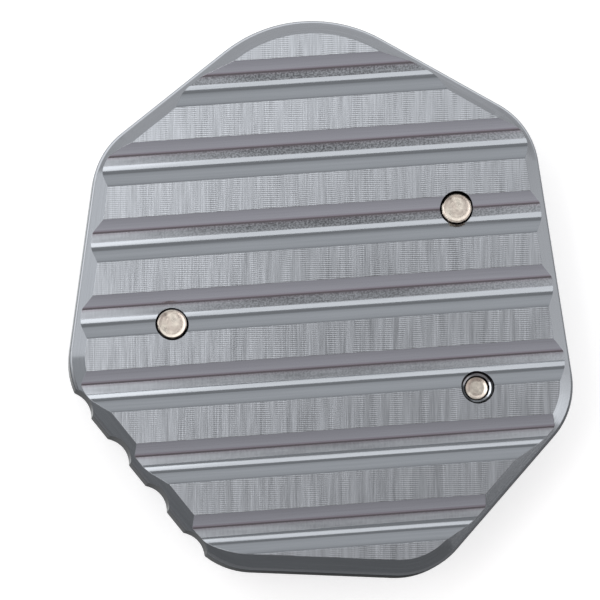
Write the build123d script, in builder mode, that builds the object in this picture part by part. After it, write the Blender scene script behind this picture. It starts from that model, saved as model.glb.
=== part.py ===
"""Foot pad for a motorbike's side stand, lying with its grooved ground face up.

The base plate is the wide milled plate that stands on soft ground. The clamp plate is a
horseshoe under it that holds the stand's own foot against the base plate, and three screws
pull the two together from the clamp's side. X runs along the grooves, Z points out of the
ground face, and Z = 0 is the clamp plate's free face. Lengths are in millimetres.
"""
import os

from build123d import *

os.makedirs("parts", exist_ok=True)

# Base plate: the seven corners of its plan before rounding, from the top one round to the left
top_corner = (1.1, 52.9)
left_shoulder = (-35.3, 27.7)
left_corner = (-43.5, -10.9)
lower_left_corner = (-20.4, -44.4)
lower_right_corner = (16.1, -48.5)
right_corner = (43.1, -21.8)
right_shoulder = (39.4, 27.7)
top_radius = 24.2
corner_radius = 13.2
base_thickness = 10.0

# Edges of the base plate
rim_chamfer = 2.55
shoulder_radius = 1.6
underside_chamfer = 0.5

# Scallops along the lower left side
scallop_count = 4
scallop_pitch = 10.25
scallop_radius = 4.2
scallop_depth = 1.15
scallop_shift = -0.5
scallop_edge_radius = 0.4

# Grooves of the ground face, with the steeper slope on the +Y side
groove_count = 7
groove_pitch = 12.78
groove_depth = 1.5
groove_shift = -0.54
steep_run = 2.05
floor_width = 2.4
gentle_run = 2.83
steep_fillet = 0.6
gentle_fillet = 3.6

# Clamp plate
clamp_thickness = 8.0
lip_thickness = 3.0
foot_centre = (0.0, -2.0)
foot_radius = 17.0
lip_reach = 3.5
ring_radius = 24.0
boss_radius = 8.0
leg_gap_width = 17.0
gap_corner_radius = 2.0
arm_end_radius = 2.0
clamp_edge_chamfer = 0.8

# Screw places: distance out from the clamp's ring, and angle from +X round the foot's centre
upper_screw_reach = 5.6
upper_screw_angle = 32.3
left_screw_reach = 0.9
left_screw_angle = 181.4
lower_screw_reach = 6.1
lower_screw_angle = -29.9

# Screws: two long ones that end just below the ground face and a shorter one deeper down
thread_diameter = 5.0
thread_clearance = 0.05
long_length = 12.0
short_length = 10.0
tip_chamfer = 0.3
head_diameter = 8.5
head_height = 5.0
head_chamfer = 0.4
socket_width = 4.0
socket_depth = 2.5
head_recess = 5.5
head_clearance = 0.5
shank_clearance = 0.25
relief_diameter = 5.6
relief_depth = 3.5

# Levels and places that follow from the sizes above
base_low = clamp_thickness
ground_level = base_low + base_thickness
plan_reach = 2 * max(abs(left_corner[0]), abs(right_corner[0]))
outline_corners = [
    top_corner,
    left_shoulder,
    left_corner,
    lower_left_corner,
    lower_right_corner,
    right_corner,
    right_shoulder,
]


def beside_ring(reach, angle):
    """Point that far out from the clamp's ring, in that direction from the foot's centre."""
    place = Vector(*foot_centre) + Vector(ring_radius + reach, 0).rotate(Axis.Z, angle)
    return (place.X, place.Y)


upper_screw = beside_ring(upper_screw_reach, upper_screw_angle)
left_screw = beside_ring(left_screw_reach, left_screw_angle)
lower_screw = beside_ring(lower_screw_reach, lower_screw_angle)
gap_centre = (upper_screw[1] + lower_screw[1]) / 2


def groove_section():
    """Section of one groove, with local X across it and local Y = 0 at the ground face."""
    width = steep_run + floor_width + gentle_run
    steep_foot = (width / 2 - steep_run, -groove_depth)
    gentle_foot = (gentle_run - width / 2, -groove_depth)
    with BuildSketch() as section:
        Polygon(
            (-width / 2, groove_depth),
            (-width / 2, 0),
            gentle_foot,
            steep_foot,
            (width / 2, 0),
            (width / 2, groove_depth),
            align=None,
        )
        fillet(section.vertices().sort_by_distance(gentle_foot)[0], gentle_fillet)
        fillet(section.vertices().sort_by_distance(steep_foot)[0], steep_fillet)
    return section.sketch


def scallop_plane():
    """Plane at the middle of the scallops' centres, with its X along the lower left side."""
    start = Vector(*left_corner)
    end = Vector(*lower_left_corner)
    along = (end - start).normalized()
    outward = along.cross(Vector(0, 0, 1))
    middle = (start + end) / 2 + along * scallop_shift
    centre = middle + outward * (scallop_radius - scallop_depth)
    return Plane(origin=(centre.X, centre.Y, base_low), x_dir=along, z_dir=(0, 0, 1))


def socket_screw(length):
    """Socket cap screw with its seat at Z = 0, its head below and its thread above."""
    with BuildPart() as screw:
        with BuildSketch(Plane.XY.offset(-head_height)):
            Circle(head_diameter / 2)
        extrude(amount=head_height)
        chamfer(screw.edges().sort_by(Axis.Z)[0], head_chamfer)
        with BuildSketch():
            Circle(thread_diameter / 2)
        extrude(amount=length)
        chamfer(screw.edges().sort_by(Axis.Z)[-1], tip_chamfer)
        with BuildSketch(Plane.XY.offset(-head_height)):
            RegularPolygon(socket_width / 2, 6, major_radius=False)
        extrude(amount=socket_depth, mode=Mode.SUBTRACT)
    return screw.part


# Base plate: the rounded heptagon with a chamfered rim
with BuildPart() as base_plate:
    with BuildSketch(Plane.XY.offset(base_low)) as plan:
        Polygon(*outline_corners, align=None)
        fillet(plan.vertices().sort_by(Axis.Y)[:-1], corner_radius)
        fillet(plan.vertices().sort_by(Axis.Y)[-1], top_radius)
    extrude(amount=base_thickness)
    chamfer(base_plate.edges().group_by(Axis.Z)[-1], rim_chamfer)
    chamfer(base_plate.edges().group_by(Axis.Z)[0], underside_chamfer)
    wall_top = base_plate.edges().filter_by_position(
        Axis.Z, ground_level - rim_chamfer - 0.01, ground_level - rim_chamfer + 0.01
    )
    fillet(wall_top, shoulder_radius)

    # Scallops cut straight down through the side wall
    with BuildSketch(scallop_plane()):
        with GridLocations(scallop_pitch, 1, scallop_count, 1):
            Circle(scallop_radius)
    extrude(amount=base_thickness, mode=Mode.SUBTRACT)
    scallop_edges = base_plate.edges(Select.NEW).filter_by_position(
        Axis.Z, base_low + 2 * underside_chamfer, ground_level
    )
    fillet(scallop_edges, scallop_edge_radius)

    # Grooves run out through the chamfer at both ends
    with BuildSketch(Plane.YZ.offset(-plan_reach)):
        with Locations((groove_shift, ground_level)):
            with GridLocations(groove_pitch, 1, groove_count, 1):
                add(groove_section())
    extrude(amount=2 * plan_reach, mode=Mode.SUBTRACT)

    # Tapped holes with a wider relief at the ground face
    with Locations(*[(*place, ground_level) for place in (upper_screw, left_screw, lower_screw)]):
        CounterBoreHole(thread_diameter / 2 + thread_clearance, relief_diameter / 2, relief_depth)
base_plate.part.label = "base_plate"
export_step(base_plate.part, "parts/base_plate.step")

# Clamp plate: a horseshoe with a lip that reaches over the stand's foot
with BuildPart() as clamp_plate:
    with BuildSketch():
        with Locations(foot_centre):
            Circle(ring_radius)
        with Locations(upper_screw, left_screw, lower_screw):
            Circle(boss_radius)
        make_hull()
    extrude(amount=clamp_thickness)

    # Pocket for the foot, open to the base plate and to the leg
    for level, radius in ((lip_thickness, foot_radius), (0, foot_radius - lip_reach)):
        with BuildSketch(Plane.XY.offset(level)) as opening:
            with Locations(foot_centre):
                Circle(radius)
            with Locations((foot_centre[0], gap_centre)):
                Rectangle(plan_reach, leg_gap_width, align=(Align.MIN, Align.CENTER))
            fillet(opening.vertices().sort_by(Axis.X)[:2], gap_corner_radius)
        extrude(amount=clamp_thickness, mode=Mode.SUBTRACT)

    # Rounded ends of the two arms, then a broken edge all round the free face
    gap_edges = clamp_plate.edges().filter_by(Axis.Z).filter_by_position(
        Axis.Y, gap_centre - leg_gap_width / 2 - 0.01, gap_centre + leg_gap_width / 2 + 0.01
    )
    fillet(gap_edges.sort_by(Axis.X)[-2:], arm_end_radius)
    chamfer(clamp_plate.faces().sort_by(Axis.Z)[0].outer_wire().edges(), clamp_edge_chamfer)

    # Counterbores for the screw heads
    with BuildSketch():
        with Locations(upper_screw, left_screw, lower_screw):
            Circle(head_diameter / 2 + head_clearance)
    extrude(amount=head_recess, mode=Mode.SUBTRACT)
    with BuildSketch():
        with Locations(upper_screw, left_screw, lower_screw):
            Circle(thread_diameter / 2 + shank_clearance)
    extrude(amount=clamp_thickness, mode=Mode.SUBTRACT)
clamp_plate.part.label = "clamp_plate"
export_step(clamp_plate.part, "parts/clamp_plate.step")

# Screws
with BuildPart() as clamp_screws:
    with Locations(*[(*place, head_recess) for place in (upper_screw, left_screw)]):
        add(socket_screw(long_length))
clamp_screws.part.label = "clamp_screws"
export_step(clamp_screws.part, "parts/clamp_screws.step")

with BuildPart() as short_clamp_screw:
    with Locations((*lower_screw, head_recess)):
        add(socket_screw(short_length))
short_clamp_screw.part.label = "short_clamp_screw"
export_step(short_clamp_screw.part, "parts/short_clamp_screw.step")
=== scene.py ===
"""Looks of the side stand's foot pad: camera, floor, studio light, metals and threaded screws.

The ground face looks up, so it is what the camera sees. Places in the room are in metres. The
plates' marks and the screws are worked out in millimetres, in the part's own frame.
"""
import math
from collections import namedtuple

import bmesh
import bpy
from mathutils import Matrix, Vector


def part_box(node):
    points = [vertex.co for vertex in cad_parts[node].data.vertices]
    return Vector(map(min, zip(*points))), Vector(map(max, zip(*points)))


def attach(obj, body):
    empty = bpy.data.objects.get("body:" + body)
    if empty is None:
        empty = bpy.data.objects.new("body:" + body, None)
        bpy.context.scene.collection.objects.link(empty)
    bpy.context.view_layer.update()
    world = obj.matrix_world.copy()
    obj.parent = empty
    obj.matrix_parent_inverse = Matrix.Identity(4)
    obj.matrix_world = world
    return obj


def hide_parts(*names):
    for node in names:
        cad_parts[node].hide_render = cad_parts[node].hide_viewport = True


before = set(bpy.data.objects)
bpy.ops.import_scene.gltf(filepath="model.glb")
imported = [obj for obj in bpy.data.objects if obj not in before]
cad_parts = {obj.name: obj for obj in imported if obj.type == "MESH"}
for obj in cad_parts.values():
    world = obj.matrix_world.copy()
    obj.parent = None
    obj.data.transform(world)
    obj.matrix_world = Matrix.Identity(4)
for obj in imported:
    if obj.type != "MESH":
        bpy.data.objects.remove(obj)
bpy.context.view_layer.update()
scene = bpy.context.scene
MM = 0.001

# An upright screw in millimetres: where its axis stands, and the heights of its two ends
ScrewPlace = namedtuple("ScrewPlace", "centre head_face tip")


def screw_place(node, side):
    """Place of the CAD node's screw that stands on that side of X = 0, rounded to 0.01.

    Its axis is in the middle of the corners that its mesh has round the end of the tip.
    """
    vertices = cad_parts[node].data.vertices
    points = [vertex.co / MM for vertex in vertices if vertex.co.x * side > 0]
    head_face, tip = (round(limit(point.z for point in points), 2) for limit in (min, max))
    corners = {(round(x, 3), round(y, 3)) for x, y, z in points if z > tip - 0.01}
    centre = tuple(round(sum(axis) / len(corners), 2) for axis in zip(*corners))
    return ScrewPlace(centre, head_face, tip)


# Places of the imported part, in millimetres
TOP_FACE = round(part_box("base_plate")[1].z / MM, 2)
UPPER_SCREW = screw_place("clamp_screws", side=1)
LEFT_SCREW = screw_place("clamp_screws", side=-1)
LOWER_SCREW = screw_place("short_clamp_screw", side=1)

# The base plate's grooves and the reliefs round its tapped holes, in millimetres
GROOVE_PITCH = 12.78
GROOVE_SHIFT = -0.54
HALF_GROOVE = 3.64
RELIEF_RADIUS = 2.8

# M5 socket screws, in millimetres
THREAD_PITCH = 0.8
THREAD_RADIUS = 2.5
THREAD_DEPTH = 0.49
HEAD_RADIUS = 4.25
HEAD_HEIGHT = 5.0
SOCKET_WIDTH = 4.0
SOCKET_DEPTH = 2.5

# Points in each ring of a screw, and steps in each turn of the tapped hole's thread
RING_POINTS = 72
TURN_STEPS = 64

# The cutter's marks, in millimetres: spacing of the feed lines, and how far the streaks lean
FEED_SPACING = 0.34
STREAK_LEAN = 0.078

# The part of a noise's range that is used: its tails are rare
NOISE_LOW = 0.3
NOISE_HIGH = 0.7


def place_camera():
    """A long lens 1 m above the ground face, leaning a little to -X and -Y.

    It is turned so that the grooves rise to the right.
    """
    roll = math.radians(4.45)
    lean_right, lean_up = 0.075, 0.105
    right = Vector((math.cos(roll), -math.sin(roll), 0))
    up = Vector((math.sin(roll), math.cos(roll), 0))
    back = (Vector((0, 0, 1)) - lean_right * right - lean_up * up).normalized()
    up = (up - back * up.dot(back)).normalized()
    right = up.cross(back)
    target = Vector((-2.97, -0.11, TOP_FACE)) * MM
    data = bpy.data.cameras.new("camera")
    data.sensor_width = 36.0
    data.lens = 354.0
    data.clip_start = 0.05
    data.clip_end = 20.0
    camera = bpy.data.objects.new("camera", data)
    turned = Matrix((right, up, back)).transposed().to_4x4()
    camera.matrix_world = Matrix.Translation(target + back) @ turned
    scene.collection.objects.link(camera)
    scene.camera = camera


class Graph:
    """A node tree being built. Most methods add a node and return the socket of its result."""

    def __init__(self, tree):
        self.tree = tree
        tree.nodes.clear()

    def node(self, kind, inputs=(), **settings):
        made = self.tree.nodes.new(kind)
        for name, value in settings.items():
            setattr(made, name, value)
        for key, value in dict(inputs).items():
            self.put(made.inputs[key], value)
        return made

    def put(self, socket, value):
        if isinstance(value, bpy.types.NodeSocket):
            self.tree.links.new(value, socket)
        else:
            socket.default_value = value

    def math(self, operation, a, b=0.0, c=0.0):
        return self.node("ShaderNodeMath", {0: a, 1: b, 2: c}, operation=operation).outputs[0]

    def times(self, a, b):
        return self.math("MULTIPLY", a, b)

    def plus(self, a, b):
        return self.math("ADD", a, b)

    def minus(self, a, b):
        return self.math("SUBTRACT", a, b)

    def larger(self, a, b):
        return self.math("MAXIMUM", a, b)

    def size(self, a):
        return self.math("ABSOLUTE", a)

    def squared(self, a):
        return self.math("POWER", self.size(a), 2.0)

    def other(self, mask):
        """What a mask from 0 to 1 leaves out."""
        return self.minus(1.0, mask)

    def fit(self, value, low, high, out_low=0.0, out_high=1.0, **settings):
        """Straight change from out_low to out_high while value goes from low to high."""
        inputs = {"Value": value, "From Min": low, "From Max": high,
                  "To Min": out_low, "To Max": out_high}
        return self.node("ShaderNodeMapRange", inputs, **settings).outputs["Result"]

    def step(self, value, low, high, out_low=0.0, out_high=1.0):
        """Smooth change from out_low to out_high while value goes from low to high."""
        return self.fit(value, low, high, out_low, out_high, interpolation_type="SMOOTHSTEP")

    def blend(self, factor, a, b):
        made = self.node("ShaderNodeMix", {0: factor, 2: a, 3: b}, data_type="FLOAT")
        return made.outputs[0]

    def blend_colour(self, factor, a, b, mode="MIX"):
        made = self.node("ShaderNodeMix", {0: factor, 6: a, 7: b}, data_type="RGBA",
                         blend_type=mode)
        return made.outputs[2]

    def vector(self, x, y, z):
        return self.node("ShaderNodeCombineXYZ", {0: x, 1: y, 2: z}).outputs[0]

    def scaled(self, vector, scale):
        made = self.node("ShaderNodeVectorMath", {0: vector, "Scale": scale}, operation="SCALE")
        return made.outputs[0]

    def split(self, vector):
        return self.node("ShaderNodeSeparateXYZ", {0: vector}).outputs

    def place(self):
        """The shaded point in the object's own metres."""
        return self.node("ShaderNodeTexCoord").outputs["Object"]

    def place_mm(self):
        return self.scaled(self.place(), 1 / MM)

    def noise(self, where, scale=1.0, detail=2.0, roughness=0.5):
        made = self.node("ShaderNodeTexNoise", {"Vector": where, "Scale": scale, "Detail": detail,
                                                "Roughness": roughness, "Distortion": 0.0})
        return made.outputs[0]

    def drawn_out(self, u, u_scale, v, v_scale, seed, **settings):
        """A flat noise with its own scale in each direction. seed is the level it is cut at."""
        where = self.vector(self.times(u, u_scale), self.times(v, v_scale), seed)
        return self.noise(where, **settings)

    def vary(self, noise, low, high):
        """From low to high as the noise goes through the used part of its range."""
        return self.fit(noise, NOISE_LOW, NOISE_HIGH, low, high)

    def bump(self, height, strength, **inputs):
        inputs = {"Height": height, "Strength": strength, "Distance": 0.03 * MM, **inputs}
        return self.node("ShaderNodeBump", inputs).outputs[0]

    def metal(self, colour, roughness, normal, **inputs):
        """Ends a material's graph in a bare metal surface."""
        inputs = {"Base Color": colour, "Metallic": 1.0, "Roughness": roughness,
                  "Normal": normal, **inputs}
        shader = self.node("ShaderNodeBsdfPrincipled", inputs)
        self.node("ShaderNodeOutputMaterial", {"Surface": shader.outputs[0]})


def new_material(name):
    material = bpy.data.materials.new(name)
    material.use_nodes = True
    return material, Graph(material.node_tree)


def grey(value):
    """A neutral grey of that linear value."""
    return (value, value, value, 1.0)


def cool_grey(value):
    """The slightly blue grey of the anodising."""
    return (0.955 * value, value, 1.07 * value, 1.0)


class Cut:
    """Where a shaded point of the milled plates lies, and masks for the cut that made it."""

    def __init__(self, g):
        self.x, self.y, self.z = g.split(g.place_mm())[0:3]
        normal = g.split(g.node("ShaderNodeNewGeometry").outputs["Normal"])
        ny, self.nz = normal[1], normal[2]
        # Across and along the streaks that the face mill left, and down from the ground face
        self.across = g.plus(self.x, g.times(self.y, -STREAK_LEAN))
        self.along = g.plus(self.y, g.times(self.x, STREAK_LEAN))
        self.below = g.minus(TOP_FACE, self.z)

        # Level faces at the top, and those that look down, are lands. The other level ones are
        # floors. The edge is all that is steeper than the grooves' slopes: the rim's chamfer
        # and shoulder, and the walls
        level = g.step(g.size(self.nz), 0.9975, 0.9995)
        high = g.larger(g.step(self.z, TOP_FACE - 0.25, TOP_FACE - 0.05),
                        g.math("LESS_THAN", self.nz, 0.0))
        self.land = g.times(level, high)
        self.floor = g.times(level, g.other(high))
        self.edge = g.times(g.step(self.nz, 0.78, 0.74), g.other(level))
        self.steep = g.times(g.step(ny, -0.30, -0.45), g.other(self.edge))
        self.gentle = g.times(g.step(ny, 0.30, 0.42), g.other(self.edge))

        # Foot of the steep slope, which gets painted shade, by the distance from the groove's
        # steep edge towards -Y
        middle = g.math("WRAP", g.plus(self.y, -GROOVE_SHIFT), GROOVE_PITCH / 2,
                        -GROOVE_PITCH / 2)
        inside = g.minus(HALF_GROOVE, middle)
        foot = g.times(g.step(inside, 1.55, 1.85), g.step(inside, 2.85, 2.10))
        foot = g.times(foot, g.other(g.larger(self.land, self.edge)))
        self.foot = g.times(foot, g.step(self.z, TOP_FACE - 1.70, TOP_FACE - 1.60))

    def choose(self, g, land, floor, smooth):
        """One value for the lands, one for the grooves' floors and one for all other faces."""
        return g.blend(self.land, g.blend(self.floor, smooth, floor), land)


class Marks:
    """The cutter's marks. Each one is a noise, apart from the feed lines, which are a wave."""

    def __init__(self, g, cut):
        # Face-milled land: streaks across the grooves, and strips of short feed lines along them
        self.streak = g.drawn_out(cut.across, 1.0, cut.y, 0.05, seed=3.0, scale=1.1, detail=4.0,
                                  roughness=0.6)
        self.fine = g.drawn_out(cut.across, 4.2, cut.y, 0.16, seed=7.0)
        strip = g.drawn_out(cut.across, 0.55, cut.y, 0.13, seed=11.0, detail=1.0)
        wobble = g.drawn_out(cut.across, 0.5, cut.y, 0.2, seed=5.0, detail=0.0)
        turn = g.plus(g.times(cut.along, 2 * math.pi / FEED_SPACING), g.times(wobble, 5.0))
        strength = g.times(g.step(strip, 0.38, 0.58), g.step(cut.x, -42.0, -15.0, 0.35, 0.85))
        self.lines = g.times(g.math("SINE", turn), g.plus(strength, 0.15))
        # Smooth cuts: faint lines that run along the grooves and round the rim
        x_scale, y_scale, z_scale = 0.07, g.blend(cut.edge, 2.2, 0.07), 4.5
        where = g.vector(g.times(cut.x, x_scale), g.times(cut.y, y_scale),
                         g.times(cut.z, z_scale))
        self.drawn = g.noise(where, detail=3.0, roughness=0.6)
        # Rough floors: chatter across the groove, patches, and flecks
        self.chatter = g.drawn_out(cut.across, 2.8, cut.y, 0.5, seed=2.0, detail=3.0,
                                   roughness=0.6)
        self.mottle = g.drawn_out(cut.x, 0.12, cut.y, 1.1, seed=9.0)
        self.fleck = g.drawn_out(cut.across, 2.9, cut.y, 3.4, seed=17.0, roughness=0.6)


def face_marks_and_painted_shade(g, cut, marks):
    """How light each kind of face is, where 1 is the plain anodising: the cutter's marks and
    painted shade.
    """
    # Lands are painted a little darker round the middle of the ground face, as painted shade
    from_middle = g.math("SQRT", g.plus(g.squared(g.times(g.plus(cut.x, -5.0), 1 / 30)),
                                        g.squared(g.times(g.plus(cut.y, 4.0), 1 / 38))))
    painted_dark_middle = g.step(from_middle, 1.0, 0.0, 0.04, -0.12)
    land = g.plus(g.plus(g.vary(marks.streak, -0.12, 0.12), g.vary(marks.fine, -0.13, 0.13)),
                  g.plus(g.times(marks.lines, 0.32), painted_dark_middle))
    # The upper floors are flecked towards the right. Every floor is painted darkest half way along
    # and towards +Y, as painted shade
    floor = g.plus(g.vary(marks.chatter, -0.10, 0.10), g.vary(marks.mottle, -0.12, 0.12))
    lit = g.plus(g.step(cut.y, -38.0, 16.0, 1.10, 0.80), g.times(g.squared(cut.x), 0.00034))
    worn = g.times(g.step(cut.y, -30.0, 12.0, 0.15, 1.0), g.step(cut.x, -38.0, -5.0, 0.10, 1.0))
    flecks = g.times(g.times(g.step(marks.fleck, 0.58, 0.42), worn), -0.40)
    floor = g.plus(g.plus(floor, g.plus(lit, -1.0)), flecks)
    smooth = g.vary(marks.drawn, -0.04, 0.04)
    return g.plus(1.0, cut.choose(g, land, floor, smooth))


def slope_painted_shade(g, cut, tone):
    """Paints shade onto the grooves' slopes: darker at their tops and their feet, and on the steep
    slopes and their feet towards -Y.
    """
    for mask, factor in (
        (cut.steep, g.fit(cut.below, 0.1, 1.35, 0.80, 1.02)),
        (cut.gentle, g.step(cut.below, 0.0, 0.50, 0.92, 1.07)),
        (cut.gentle, g.step(cut.below, 0.05, 0.20, 0.80, 1.0)),
        (cut.gentle, g.step(cut.below, 1.20, 0.75, 0.84, 1.0)),
        (cut.foot, 0.76),
        (g.larger(cut.steep, cut.foot), g.step(cut.y, -42.0, 18.0, 0.84, 1.03)),
    ):
        tone = g.times(tone, g.blend(mask, 1.0, factor))
    return tone


def hole_painted_shade(g, cut, tone):
    """Paints shade into the tapped holes: blackens them inside, with lighter painted bands along
    the thread's turns, but for what shows of their threads.
    """
    # Painted shade inside the holes: near black, and on faces that look up, lighter painted bands
    # along the thread's turns
    turns = g.math("SINE", g.times(cut.z, 2 * math.pi / THREAD_PITCH))
    facing_up = g.step(cut.nz, 0.5, 0.9)
    painted_hole_black = g.blend(facing_up, g.step(turns, -0.2, 0.9, 0.04, 0.35), 0.03)
    # Noise that leaves patches of the painted black over the thread that shows
    unshaded_patches = g.step(g.noise(g.vector(cut.x, cut.y, 4.0), scale=0.42, detail=1.0),
                  0.40, 0.56, 0.15, 1.0)
    for screw in (UPPER_SCREW, LEFT_SCREW, LOWER_SCREW):
        ends = {0: g.vector(cut.x, cut.y, 0.0), 1: (*screw.centre, 0.0)}
        distance = g.node("ShaderNodeVectorMath", ends, operation="DISTANCE").outputs["Value"]
        shown = g.times(facing_up, g.times(g.step(distance, 2.50, 2.35), unshaded_patches))
        away = g.larger(g.step(distance, RELIEF_RADIUS, RELIEF_RADIUS + 0.06), shown)
        tone = g.times(tone, g.blend(away, painted_hole_black, 1.0))
    return tone


def plate_metal(name):
    """Grey anodised aluminium, with the marks of each surface's own cut and some painted shade.

    These are the face-milled lands, the smooth slopes of the grooves, their rough floors, and
    the rim and walls that an end mill went round.
    """
    material, g = new_material(name)
    cut = Cut(g)
    marks = Marks(g, cut)
    # The tone holds the cutter's marks and painted shade on the lands, floors, slopes and holes
    tone = hole_painted_shade(g, cut, slope_painted_shade(g, cut, face_marks_and_painted_shade(g, cut, marks)))

    base = g.blend_colour(cut.floor, cool_grey(0.385), cool_grey(0.31))
    base = g.blend_colour(cut.steep, base, (1.035, 0.975, 1.01, 1.0), "MULTIPLY")
    # Painted shade at the foot of the steep slopes is a little browner
    base = g.blend_colour(cut.foot, base, (1.04, 0.95, 0.98, 1.0), "MULTIPLY")

    rough = cut.choose(g, g.vary(marks.streak, 0.32, 0.42), 0.48, 0.11)
    rough = g.blend(cut.edge, rough, g.vary(marks.drawn, 0.10, 0.17))

    land_height = g.plus(g.times(marks.lines, 0.5), g.vary(marks.fine, -0.5, 0.5))
    height = cut.choose(g, land_height, g.times(marks.chatter, 2.0), g.times(marks.drawn, 0.4))
    broken_edges = g.node("ShaderNodeBevel", {"Radius": 0.12 * MM}, samples=4).outputs[0]
    bump = g.bump(height, 0.35, Normal=broken_edges)
    g.metal(g.scaled(base, tone), rough, bump, **{"Specular Tint": grey(0.5)})
    return material


def turned_steel(name):
    """Warm bright steel of the screws, a little cloudy and patchy."""
    material, g = new_material(name)
    mm = g.place_mm()
    cloud = g.noise(mm, scale=1.3, detail=3.0, roughness=0.6)
    patch = g.noise(mm, scale=0.55, detail=1.0)
    fine = g.noise(mm, scale=9.0, detail=3.0, roughness=0.6)
    tone = g.plus(1.0, g.plus(g.vary(cloud, -0.14, 0.14), g.vary(fine, -0.06, 0.06)))
    plain = g.blend_colour(g.step(patch, 0.40, 0.60),
                           (0.60, 0.53, 0.47, 1.0), (0.74, 0.68, 0.60, 1.0))
    g.metal(g.scaled(plain, tone), g.vary(cloud, 0.26, 0.38), g.bump(fine, 0.3))
    return material


def dress(node, material):
    """Gives a CAD node its finished material in every slot."""
    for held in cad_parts[node].material_slots:
        held.material = material


def circle(radius, height):
    """One ring of points in millimetres. radius may be a number or a function of the angle."""
    made = []
    for i in range(RING_POINTS):
        turn = 2 * math.pi * i / RING_POINTS
        r = radius(turn) if callable(radius) else radius
        made.append(Vector((r * math.cos(turn), r * math.sin(turn), height)))
    return made


def skin(bm, rows):
    """Closes rows of vertices into a tube with both ends capped."""
    for lower, upper in zip(rows, rows[1:]):
        for i in range(len(lower)):
            bm.faces.new((lower[i - 1], lower[i], upper[i], upper[i - 1]))
    bm.faces.new(rows[0])
    bm.faces.new(rows[-1])
    bmesh.ops.recalc_face_normals(bm, faces=bm.faces)


def finish_piece(name, bm, centre, material):
    """The piece with its origin on the upright axis at centre."""
    mesh = bpy.data.meshes.new(name)
    bm.to_mesh(mesh)
    bm.free()
    mesh.shade_smooth()
    mesh.set_sharp_from_angle(angle=math.radians(32))
    mesh.materials.append(material)
    piece = bpy.data.objects.new(name, mesh)
    piece.location = Vector((centre[0], centre[1], 0)) * MM
    scene.collection.objects.link(piece)
    return piece


def thread_radius(height, turn):
    """Radius of an M5 thread there: flat crests and roots, with slopes between."""
    phase = (height / THREAD_PITCH - turn / (2 * math.pi)) % 1
    away = abs(phase - 0.5) * 2
    return THREAD_RADIUS - THREAD_DEPTH * min(max((away - 0.15) / 0.6, 0), 1)


def hexagon(across_flats):
    """The radius of a hexagon, as a function of the angle."""
    def radius(turn):
        return across_flats / 2 / math.cos((turn + math.pi / 6) % (math.pi / 3) - math.pi / 6)
    return radius


def knurl(radius):
    """The radius of a round that has fine ridges, as a function of the angle."""
    ridges, depth = 36, 0.10

    def ridged(turn):
        return radius - depth * (0.5 + 0.5 * math.cos(ridges * turn))
    return ridged


def head_rings(face, seat):
    """From the bottom of the hex socket out, round the knurled head and in to the shank."""
    return [
        circle(hexagon(SOCKET_WIDTH), face + SOCKET_DEPTH),
        circle(hexagon(SOCKET_WIDTH), face + 0.2),
        circle(hexagon(SOCKET_WIDTH + 0.35), face),
        circle(HEAD_RADIUS - 0.50, face),
        circle(HEAD_RADIUS - 0.17, face + 0.12),
        circle(HEAD_RADIUS - 0.03, face + 0.35),
        circle(knurl(HEAD_RADIUS), face + 0.7),
        circle(knurl(HEAD_RADIUS), seat - 0.5),
        circle(HEAD_RADIUS - 0.03, seat - 0.3),
        circle(HEAD_RADIUS - 0.15, seat),
        circle(THREAD_RADIUS, seat),
    ]


def thread_rings(seat, tip, tip_chamfer):
    """The thread, from a little above the seat to the chamfered tip."""
    start, step = seat + 0.6, THREAD_PITCH / 10
    rings = [circle(THREAD_RADIUS, start - step)]
    for i in range(int((tip - start) / step)):
        height = start + i * step
        widest = THREAD_RADIUS - tip_chamfer + (tip - height) * 1.1
        rings.append(circle(lambda turn: min(thread_radius(height, turn), widest), height))
    return rings


def tip_rings(tip, flat, dish):
    """The turned end: a fine edge, then a shallow rippled dish in to the middle."""
    ring_step, ripple_height, ripple_length = 0.155, 0.004, 0.62
    rings = [circle(flat, tip - 0.02), circle(flat - 0.05, tip)]
    radius = flat - 0.2
    while radius > 0.15:
        inward = min((flat - radius) / 0.55, 1.0)
        ripple = ripple_height * (1 + math.cos(2 * math.pi * radius / ripple_length))
        rings.append(circle(radius, tip - ripple - dish * inward ** 0.8))
        radius -= ring_step
    return rings


def socket_screw(name, place, material, tip_chamfer, dish):
    """An M5 socket head screw, head down, with a shallow dish in its tip."""
    seat = place.head_face + HEAD_HEIGHT
    rings = head_rings(place.head_face, seat) + thread_rings(seat, place.tip, tip_chamfer)
    rings += tip_rings(place.tip, THREAD_RADIUS - tip_chamfer, dish)
    bm = bmesh.new()
    skin(bm, [[bm.verts.new(point * MM) for point in ring] for ring in rings])
    return finish_piece(name, bm, place.centre, material)


def tapped_turns(name, centre, material, crest, low, high):
    """What shows of the thread in a tapped hole: one ridge round its wall, faded at both ends."""
    wall = RELIEF_RADIUS
    bm = bmesh.new()
    turns = (high - low) / THREAD_PITCH
    steps = round(turns * TURN_STEPS)
    fade_steps = 10
    rows = []
    for i in range(steps + 1):
        turn = 2 * math.pi * turns * i / steps
        height = low + (high - low) * i / steps
        fade = min(1.0, i / fade_steps, (steps - i) / fade_steps)
        top = wall - (wall - crest) * fade
        around = Vector((math.cos(turn), math.sin(turn), 0))
        section = ((wall + 0.03, -0.30), (top, -0.05), (top, 0.05), (wall + 0.03, 0.30))
        rows.append([bm.verts.new((around * r + Vector((*centre, height + dz))) * MM)
                     for r, dz in section])
    skin(bm, rows)
    return finish_piece(name, bm, (0, 0), material)


def mirrored_white(g, x, y):
    """How white the paper is in the metal's mirror: dim at the far right, darkest towards -Y."""
    white = g.step(y, -0.035, 0.0, 0.35, 0.54)
    far_right = g.times(g.step(x, 0.06, 0.15), g.step(y, 0.03, 0.07))
    return g.times(white, g.blend(far_right, 1.0, 0.48))


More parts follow.
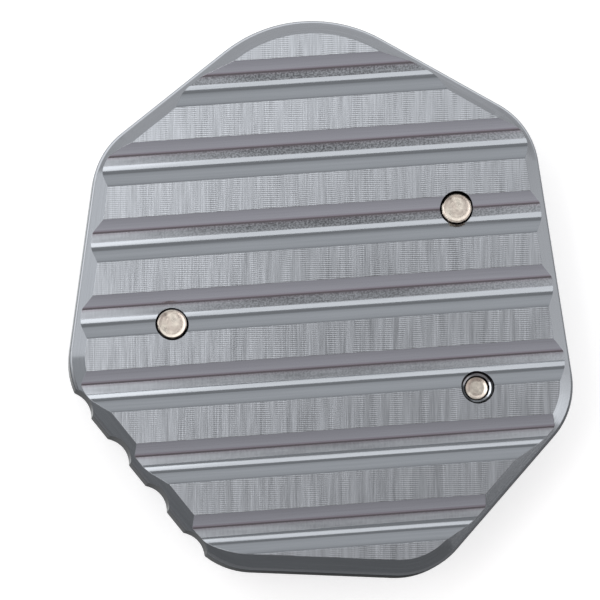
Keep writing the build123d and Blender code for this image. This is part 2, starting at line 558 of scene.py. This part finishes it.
def mirrored_glow(g, x, y):
    """What the paper adds to that: a glow towards +Y, strongest close to the pad, and another
    beyond its right end.
    """
    open_air = g.node("ShaderNodeAmbientOcclusion", {"Distance": 0.06}, samples=8).outputs["AO"]
    from_centre = g.math("SQRT", g.plus(g.squared(x), g.squared(y)))
    close = g.times(g.step(from_centre, 0.14, 0.09),
                    g.step(g.plus(y, g.times(x, -0.3)), 0.0, 0.04))
    behind = g.times(g.step(y, -0.035, 0.0), g.fit(close, 0.0, 1.0, 0.20, 1.30))
    right_end = g.times(g.step(x, 0.07, 0.10), g.step(y, 0.065, 0.045))
    right_end = g.times(right_end, g.step(g.plus(y, g.times(x, 0.95)), 0.065, 0.10))
    right_end = g.times(right_end, g.step(y, 0.02, -0.05, 0.28, 0.95))
    return g.plus(g.times(open_air, behind), right_end)


def floor_paper():
    """White paper, lifted to white where the camera sees it.

    The metal mirrors it as the studio that lay round the pad. Rays from below, and the short
    ones that the walls and the underside send out, go through it.
    """
    material, g = new_material("floor_paper")
    path = g.node("ShaderNodeLightPath").outputs
    x, y = g.split(g.place())[0:2]
    white = g.blend(path["Is Camera Ray"], mirrored_white(g, x, y), 0.8)
    colour = g.node("ShaderNodeCombineColor", {0: white, 1: white, 2: white}).outputs[0]
    paper = g.node("ShaderNodeBsdfDiffuse", {"Color": colour}).outputs[0]

    mirrored = g.larger(path["Is Glossy Ray"], path["Is Transmission Ray"])
    lift = g.plus(g.times(path["Is Camera Ray"], 0.50), g.times(mirrored, mirrored_glow(g, x, y)))
    glow = g.node("ShaderNodeEmission", {"Color": grey(1.0), "Strength": lift}).outputs[0]
    lit = g.node("ShaderNodeAddShader", {0: paper, 1: glow}).outputs[0]

    clear = g.node("ShaderNodeBsdfTransparent").outputs[0]
    behind = g.node("ShaderNodeNewGeometry").outputs["Backfacing"]
    near = g.times(g.math("LESS_THAN", path["Ray Length"], 0.022), g.other(path["Is Camera Ray"]))
    shown = g.node("ShaderNodeMixShader", {0: g.larger(behind, near), 1: lit, 2: clear})
    g.node("ShaderNodeOutputMaterial", {"Surface": shown.outputs[0]})
    return material


def place_floor():
    """A plain floor 8 m across, just under the clamp plate's free face."""
    bm = bmesh.new()
    bmesh.ops.create_grid(bm, x_segments=1, y_segments=1, size=4.0)
    mesh = bpy.data.meshes.new("floor")
    bm.to_mesh(mesh)
    bm.free()
    floor = bpy.data.objects.new("floor", mesh)
    floor.location.z = -0.0001
    scene.collection.objects.link(floor)
    mesh.materials.append(floor_paper())


def light_room():
    """Soft room light in front of a white backdrop.

    It is dimmer overhead, low down towards -Y, and straight down except towards +Y.
    """
    world = bpy.data.worlds.new("studio")
    scene.world = world
    world.use_nodes = True
    g = Graph(world.node_tree)
    x, y, z = g.split(g.node("ShaderNodeTexCoord").outputs["Generated"])[0:3]
    aside = g.step(g.size(x), 0.35, 0.60)
    overhead = g.blend(aside, g.step(y, -0.10, 0.10, 0.36, 0.42), 0.95)
    horizon = g.step(y, -0.58, -0.42, 0.22, 0.63)
    nadir = g.plus(g.step(x, -0.12, 0.12, 0.27, 0.06),
                   g.step(g.plus(y, g.times(x, 0.3)), 0.0, 0.12, 0.0, 0.85))
    tone = g.blend(g.step(z, 0.24, 0.32), horizon, g.blend(aside, 0.75, 0.90))
    tone = g.blend(g.step(z, 0.50, 0.62), tone, overhead)
    tone = g.blend(g.step(z, -0.12, -0.24), tone, 0.66)
    tone = g.blend(g.step(z, -0.70, -0.84), tone, nadir)
    warm = g.times(g.step(z, 0.50, 0.62), g.step(y, 0.10, -0.10))
    tint = g.blend_colour(warm, (0.97, 0.985, 1.0, 1.0), (1.05, 0.98, 0.97, 1.0))
    room = g.node("ShaderNodeBackground", {"Color": tint, "Strength": tone}).outputs[0]
    white = g.node("ShaderNodeBackground", {"Color": grey(1.0), "Strength": 1.0}).outputs[0]
    seen = g.node("ShaderNodeLightPath").outputs["Is Camera Ray"]
    shown = g.node("ShaderNodeMixShader", {0: seen, 1: room, 2: white}).outputs[0]
    g.node("ShaderNodeOutputWorld", {"Surface": shown})


def lamp(name, place, aim, width, depth, radiance):
    """A soft box of that size at place, facing aim, as bright as radiance where it is seen."""
    data = bpy.data.lights.new(name, "AREA")
    data.shape = "RECTANGLE"
    data.size = width
    data.size_y = depth
    data.energy = radiance * math.pi * width * depth
    light = bpy.data.objects.new(name, data)
    light.location = place
    light.rotation_mode = "QUATERNION"
    light.rotation_quaternion = (Vector(place) - Vector(aim)).to_track_quat("Z", "Y")
    light.visible_camera = False
    scene.collection.objects.link(light)


def place_lamps():
    """Two soft boxes that lean over the pad from +Y, one overhead at the left, two side strips."""
    lamp("soft_box", (0.11, 0.2925, 0.499), (0.11, 0.5637, 0.2051), 0.22, 0.646, 1.08)
    lamp("soft_box_left", (-0.16, 0.2925, 0.499), (-0.16, 0.5637, 0.2051), 0.32, 0.646, 1.72)
    lamp("over_left", (-0.13, 0.0, 0.34), (0, 0, 0), 0.20, 0.12, 2.45)
    lamp("right_strip", (0.20, -0.055, 0.042), (0.04, -0.01, 0.015), 0.10, 0.08, 0.70)
    lamp("left_strip", (-0.21, 0.07, 0.042), (-0.04, 0.0, 0.015), 0.09, 0.08, 0.55)


place_camera()
place_floor()
light_room()
place_lamps()

plates = plate_metal("milled_aluminium")
steel = turned_steel("turned_steel")
dress("base_plate", plates)
dress("clamp_plate", plates)
dress("clamp_screws", steel)
dress("short_clamp_screw", steel)

upper = socket_screw("screw_upper", UPPER_SCREW, steel, tip_chamfer=0.2, dish=0.07)
left = socket_screw("screw_left", LEFT_SCREW, steel, tip_chamfer=0.2, dish=0.07)
lower = socket_screw("screw_lower", LOWER_SCREW, steel, tip_chamfer=0.6, dish=0.16)
for screw in (upper, left, lower):
    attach(screw, "root")
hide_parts("clamp_screws")
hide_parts("clamp_screws")
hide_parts("short_clamp_screw")
turns = tapped_turns("tapped_turns", LOWER_SCREW.centre, plates, crest=2.12,
                     low=LOWER_SCREW.tip - 0.05, high=LOWER_SCREW.tip + 1.05)
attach(turns, "root")

scene.view_settings.view_transform = "Standard"
